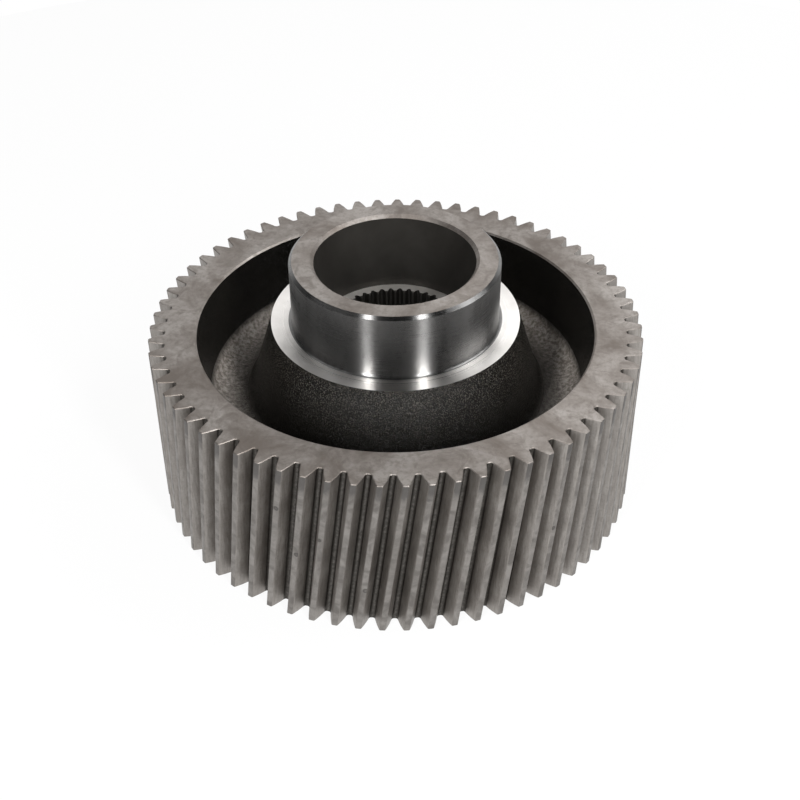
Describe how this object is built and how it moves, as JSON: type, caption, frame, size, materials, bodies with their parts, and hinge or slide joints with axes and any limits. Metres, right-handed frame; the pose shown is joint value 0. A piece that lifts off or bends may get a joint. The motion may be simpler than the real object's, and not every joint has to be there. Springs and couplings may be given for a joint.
{
  "type": "transmission gear",
  "caption": "Helical transmission gear with a wide toothed rim, a dished forged web, a tall ground journal and an internally splined bore.",
  "frame": {"origin": "on the gear's axis, in the plane of the rim's lower end face", "axes": "+Z along the gear's axis, towards the ground journal; X and Y across it"},
  "size_m": [0.245, 0.245, 0.1295],
  "materials": {
    "gear_steel": "case-hardened steel: satin teeth and end faces, ground journal, dark forged web"
  },
  "bodies": {
    "root": {"gear": "gear_steel"}
  },
  "joints": []
}
